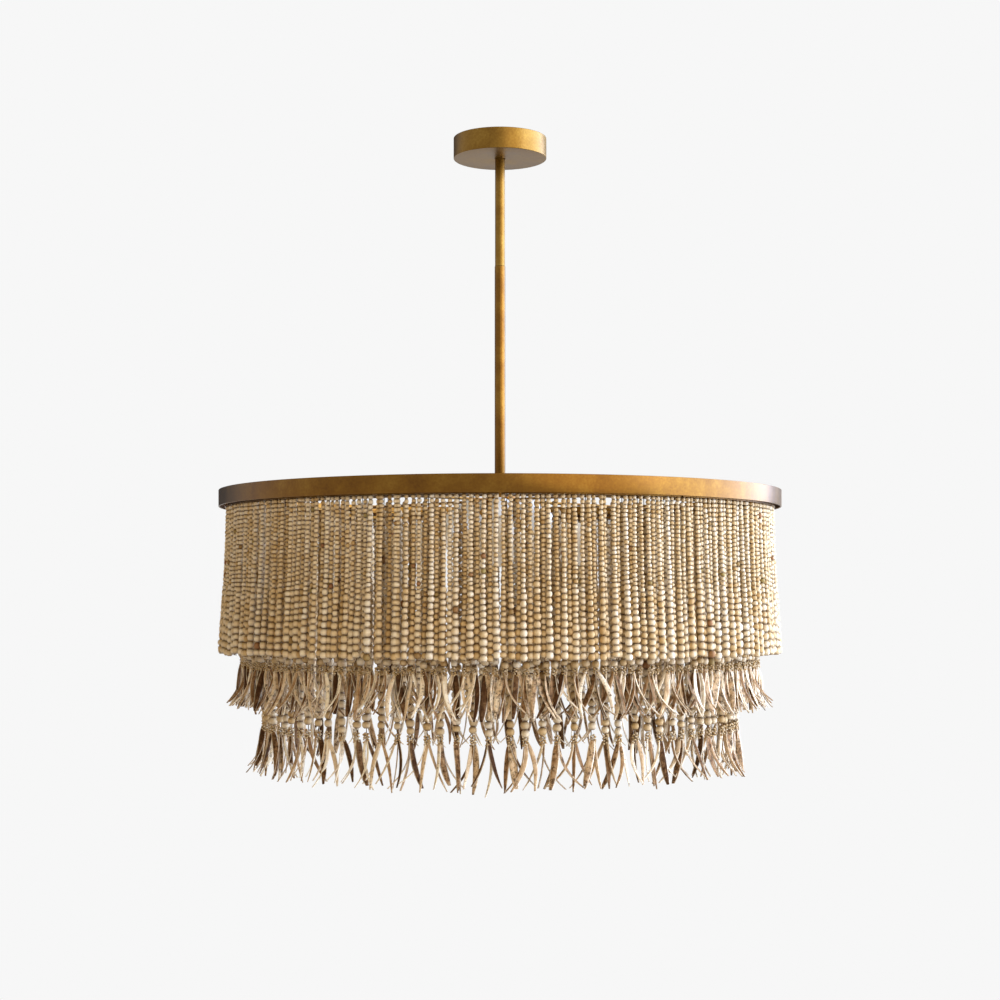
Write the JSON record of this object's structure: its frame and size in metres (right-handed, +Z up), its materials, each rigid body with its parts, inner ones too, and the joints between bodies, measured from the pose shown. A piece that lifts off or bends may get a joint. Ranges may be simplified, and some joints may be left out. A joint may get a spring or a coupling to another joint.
{
  "type": "beaded chandelier",
  "caption": "Ceiling chandelier: a brass canopy, stem and round band carry three hanging tiers of wooden bead strands, the inner two ending in bark slivers.",
  "frame": {"origin": "centre of the ceiling plane, where the crossbar meets the outlet box", "axes": "+Z up, along the stem; the picture looks along +Y, with +X to its right"},
  "size_m": [0.765, 0.7648, 0.8644],
  "materials": {
    "aged_brass": "satin, mottled",
    "zinc_steel": "zinc plated",
    "bead_wood": "raw, matt",
    "bark_slivers": "raw, mottled",
    "porcelain": "glazed, off-white",
    "bulb_glass": "frosted",
    "cable_sleeve": "braided"
  },
  "bodies": {
    "frame": {"ceiling_crossbar": "zinc_steel", "mounting_nipple": "zinc_steel", "lock_nut": "zinc_steel", "upper_stem_pipe": "aged_brass", "lower_stem_pipe": "aged_brass", "stem_coupling": "zinc_steel", "stem_cable": "cable_sleeve", "hub_body": "aged_brass", "hub_cap": "aged_brass", "spoke_1": "aged_brass", "spoke_2": "aged_brass", "spoke_3": "aged_brass", "spoke_4": "aged_brass", "band": "aged_brass", "outer_ring": "aged_brass", "middle_ring": "aged_brass", "inner_ring": "aged_brass", "lamp_holder_1": "porcelain", "lamp_holder_2": "porcelain", "lamp_holder_3": "porcelain", "lamp_holder_4": "porcelain"},
    "canopy": {"canopy": "aged_brass", "canopy_screw_right": "aged_brass", "canopy_screw_left": "aged_brass"},
    "bulb_1": {"bulb_1": "bulb_glass"},
    "bulb_2": {"bulb_2": "bulb_glass"},
    "bulb_3": {"bulb_3": "bulb_glass"},
    "bulb_4": {"bulb_4": "bulb_glass"},
    "outer_sector_01": {"outer_strands_01": "bead_wood"},
    "outer_sector_02": {"outer_strands_02": "bead_wood"},
    "outer_sector_03": {"outer_strands_03": "bead_wood"},
    "outer_sector_04": {"outer_strands_04": "bead_wood"},
    "outer_sector_05": {"outer_strands_05": "bead_wood"},
    "outer_sector_06": {"outer_strands_06": "bead_wood"},
    "outer_sector_07": {"outer_strands_07": "bead_wood"},
    "outer_sector_08": {"outer_strands_08": "bead_wood"},
    "outer_sector_09": {"outer_strands_09": "bead_wood"},
    "outer_sector_10": {"outer_strands_10": "bead_wood"},
    "middle_sector_01": {"middle_strands_01": "bark_slivers"},
    "middle_sector_02": {"middle_strands_02": "bark_slivers"},
    "middle_sector_03": {"middle_strands_03": "bark_slivers"},
    "middle_sector_04": {"middle_strands_04": "bark_slivers"},
    "middle_sector_05": {"middle_strands_05": "bark_slivers"},
    "middle_sector_06": {"middle_strands_06": "bark_slivers"},
    "middle_sector_07": {"middle_strands_07": "bark_slivers"},
    "middle_sector_08": {"middle_strands_08": "bark_slivers"},
    "middle_sector_09": {"middle_strands_09": "bark_slivers"},
    "middle_sector_10": {"middle_strands_10": "bark_slivers"},
    "inner_sector_01": {"inner_strands_01": "bark_slivers"},
    "inner_sector_02": {"inner_strands_02": "bark_slivers"},
    "inner_sector_03": {"inner_strands_03": "bark_slivers"},
    "inner_sector_04": {"inner_strands_04": "bark_slivers"},
    "inner_sector_05": {"inner_strands_05": "bark_slivers"},
    "inner_sector_06": {"inner_strands_06": "bark_slivers"},
    "inner_sector_07": {"inner_strands_07": "bark_slivers"},
    "inner_sector_08": {"inner_strands_08": "bark_slivers"},
    "inner_sector_09": {"inner_strands_09": "bark_slivers"},
    "inner_sector_10": {"inner_strands_10": "bark_slivers"}
  },
  "joints": [
    {"name": "canopy_slide", "type": "slide", "parent": "frame", "child": "canopy", "axis": [0, 0, -1], "range_m": [0, 0.06]},
    {"name": "bulb_1_out", "type": "slide", "parent": "frame", "child": "bulb_1", "axis": [0.8192, 0, -0.5736], "range_m": [0, 0.045]},
    {"name": "bulb_2_out", "type": "slide", "parent": "frame", "child": "bulb_2", "axis": [0, 0.8192, -0.5736], "range_m": [0, 0.045]},
    {"name": "bulb_3_out", "type": "slide", "parent": "frame", "child": "bulb_3", "axis": [-0.8192, 0, -0.5736], "range_m": [0, 0.045]},
    {"name": "bulb_4_out", "type": "slide", "parent": "frame", "child": "bulb_4", "axis": [0, -0.8192, -0.5736], "range_m": [0, 0.045]},
    {"name": "outer_swing_01", "type": "hinge", "parent": "frame", "child": "outer_sector_01", "pos_m": [0.11123, -0.34232, -0.4999], "axis": [-0.9511, -0.309, 0], "range_deg": [0, 22]},
    {"name": "outer_swing_02", "type": "hinge", "parent": "frame", "child": "outer_sector_02", "pos_m": [0.29119, -0.21156, -0.4999], "axis": [-0.5878, -0.809, 0], "range_deg": [0, 22]},
    {"name": "outer_swing_03", "type": "hinge", "parent": "frame", "child": "outer_sector_03", "pos_m": [0.35993, 0, -0.4999], "axis": [0, -1, 0], "range_deg": [0, 22]},
    {"name": "outer_swing_04", "type": "hinge", "parent": "frame", "child": "outer_sector_04", "pos_m": [0.29119, 0.21156, -0.4999], "axis": [0.5878, -0.809, 0], "range_deg": [0, 22]},
    {"name": "outer_swing_05", "type": "hinge", "parent": "frame", "child": "outer_sector_05", "pos_m": [0.11123, 0.34232, -0.4999], "axis": [0.9511, -0.309, 0], "range_deg": [0, 22]},
    {"name": "outer_swing_06", "type": "hinge", "parent": "frame", "child": "outer_sector_06", "pos_m": [-0.11123, 0.34232, -0.4999], "axis": [0.9511, 0.309, 0], "range_deg": [0, 22]},
    {"name": "outer_swing_07", "type": "hinge", "parent": "frame", "child": "outer_sector_07", "pos_m": [-0.29119, 0.21156, -0.4999], "axis": [0.5878, 0.809, 0], "range_deg": [0, 22]},
    {"name": "outer_swing_08", "type": "hinge", "parent": "frame", "child": "outer_sector_08", "pos_m": [-0.35993, 0, -0.4999], "axis": [0, 1, 0], "range_deg": [0, 22]},
    {"name": "outer_swing_09", "type": "hinge", "parent": "frame", "child": "outer_sector_09", "pos_m": [-0.29119, -0.21156, -0.4999], "axis": [-0.5878, 0.809, 0], "range_deg": [0, 22]},
    {"name": "outer_swing_10", "type": "hinge", "parent": "frame", "child": "outer_sector_10", "pos_m": [-0.11123, -0.34232, -0.4999], "axis": [-0.9511, 0.309, 0], "range_deg": [0, 22]},
    {"name": "middle_swing_01", "type": "hinge", "parent": "frame", "child": "middle_sector_01", "pos_m": [0.10401, -0.32011, -0.4999], "axis": [-0.9511, -0.309, 0], "range_deg": [0, 22]},
    {"name": "middle_swing_02", "type": "hinge", "parent": "frame", "child": "middle_sector_02", "pos_m": [0.2723, -0.19784, -0.4999], "axis": [-0.5878, -0.809, 0], "range_deg": [0, 22]},
    {"name": "middle_swing_03", "type": "hinge", "parent": "frame", "child": "middle_sector_03", "pos_m": [0.33659, 0, -0.4999], "axis": [0, -1, 0], "range_deg": [0, 22]},
    {"name": "middle_swing_04", "type": "hinge", "parent": "frame", "child": "middle_sector_04", "pos_m": [0.2723, 0.19784, -0.4999], "axis": [0.5878, -0.809, 0], "range_deg": [0, 22]},
    {"name": "middle_swing_05", "type": "hinge", "parent": "frame", "child": "middle_sector_05", "pos_m": [0.10401, 0.32011, -0.4999], "axis": [0.9511, -0.309, 0], "range_deg": [0, 22]},
    {"name": "middle_swing_06", "type": "hinge", "parent": "frame", "child": "middle_sector_06", "pos_m": [-0.10401, 0.32011, -0.4999], "axis": [0.9511, 0.309, 0], "range_deg": [0, 22]},
    {"name": "middle_swing_07", "type": "hinge", "parent": "frame", "child": "middle_sector_07", "pos_m": [-0.2723, 0.19784, -0.4999], "axis": [0.5878, 0.809, 0], "range_deg": [0, 22]},
    {"name": "middle_swing_08", "type": "hinge", "parent": "frame", "child": "middle_sector_08", "pos_m": [-0.33659, 0, -0.4999], "axis": [0, 1, 0], "range_deg": [0, 22]},
    {"name": "middle_swing_09", "type": "hinge", "parent": "frame", "child": "middle_sector_09", "pos_m": [-0.2723, -0.19784, -0.4999], "axis": [-0.5878, 0.809, 0], "range_deg": [0, 22]},
    {"name": "middle_swing_10", "type": "hinge", "parent": "frame", "child": "middle_sector_10", "pos_m": [-0.10401, -0.32011, -0.4999], "axis": [-0.9511, 0.309, 0], "range_deg": [0, 22]},
    {"name": "inner_swing_01", "type": "hinge", "parent": "frame", "child": "inner_sector_01", "pos_m": [0.09499, -0.29236, -0.4999], "axis": [-0.9511, -0.309, 0], "range_deg": [0, 22]},
    {"name": "inner_swing_02", "type": "hinge", "parent": "frame", "child": "inner_sector_02", "pos_m": [0.24869, -0.18069, -0.4999], "axis": [-0.5878, -0.809, 0], "range_deg": [0, 22]},
    {"name": "inner_swing_03", "type": "hinge", "parent": "frame", "child": "inner_sector_03", "pos_m": [0.3074, 0, -0.4999], "axis": [0, -1, 0], "range_deg": [0, 22]},
    {"name": "inner_swing_04", "type": "hinge", "parent": "frame", "child": "inner_sector_04", "pos_m": [0.24869, 0.18069, -0.4999], "axis": [0.5878, -0.809, 0], "range_deg": [0, 22]},
    {"name": "inner_swing_05", "type": "hinge", "parent": "frame", "child": "inner_sector_05", "pos_m": [0.09499, 0.29236, -0.4999], "axis": [0.9511, -0.309, 0], "range_deg": [0, 22]},
    {"name": "inner_swing_06", "type": "hinge", "parent": "frame", "child": "inner_sector_06", "pos_m": [-0.09499, 0.29236, -0.4999], "axis": [0.9511, 0.309, 0], "range_deg": [0, 22]},
    {"name": "inner_swing_07", "type": "hinge", "parent": "frame", "child": "inner_sector_07", "pos_m": [-0.24869, 0.18069, -0.4999], "axis": [0.5878, 0.809, 0], "range_deg": [0, 22]},
    {"name": "inner_swing_08", "type": "hinge", "parent": "frame", "child": "inner_sector_08", "pos_m": [-0.3074, 0, -0.4999], "axis": [0, 1, 0], "range_deg": [0, 22]},
    {"name": "inner_swing_09", "type": "hinge", "parent": "frame", "child": "inner_sector_09", "pos_m": [-0.24869, -0.18069, -0.4999], "axis": [-0.5878, 0.809, 0], "range_deg": [0, 22]},
    {"name": "inner_swing_10", "type": "hinge", "parent": "frame", "child": "inner_sector_10", "pos_m": [-0.09499, -0.29236, -0.4999], "axis": [-0.9511, 0.309, 0], "range_deg": [0, 22]}
  ],
  "couplings": [
    {"joint": "middle_swing_01", "follows": "outer_swing_01", "ratio": 1},
    {"joint": "middle_swing_02", "follows": "outer_swing_02", "ratio": 1},
    {"joint": "middle_swing_03", "follows": "outer_swing_03", "ratio": 1},
    {"joint": "middle_swing_04", "follows": "outer_swing_04", "ratio": 1},
    {"joint": "middle_swing_05", "follows": "outer_swing_05", "ratio": 1},
    {"joint": "middle_swing_06", "follows": "outer_swing_06", "ratio": 1},
    {"joint": "middle_swing_07", "follows": "outer_swing_07", "ratio": 1},
    {"joint": "middle_swing_08", "follows": "outer_swing_08", "ratio": 1},
    {"joint": "middle_swing_09", "follows": "outer_swing_09", "ratio": 1},
    {"joint": "middle_swing_10", "follows": "outer_swing_10", "ratio": 1},
    {"joint": "inner_swing_01", "follows": "outer_swing_01", "ratio": 1},
    {"joint": "inner_swing_02", "follows": "outer_swing_02", "ratio": 1},
    {"joint": "inner_swing_03", "follows": "outer_swing_03", "ratio": 1},
    {"joint": "inner_swing_04", "follows": "outer_swing_04", "ratio": 1},
    {"joint": "inner_swing_05", "follows": "outer_swing_05", "ratio": 1},
    {"joint": "inner_swing_06", "follows": "outer_swing_06", "ratio": 1},
    {"joint": "inner_swing_07", "follows": "outer_swing_07", "ratio": 1},
    {"joint": "inner_swing_08", "follows": "outer_swing_08", "ratio": 1},
    {"joint": "inner_swing_09", "follows": "outer_swing_09", "ratio": 1},
    {"joint": "inner_swing_10", "follows": "outer_swing_10", "ratio": 1}
  ]
}
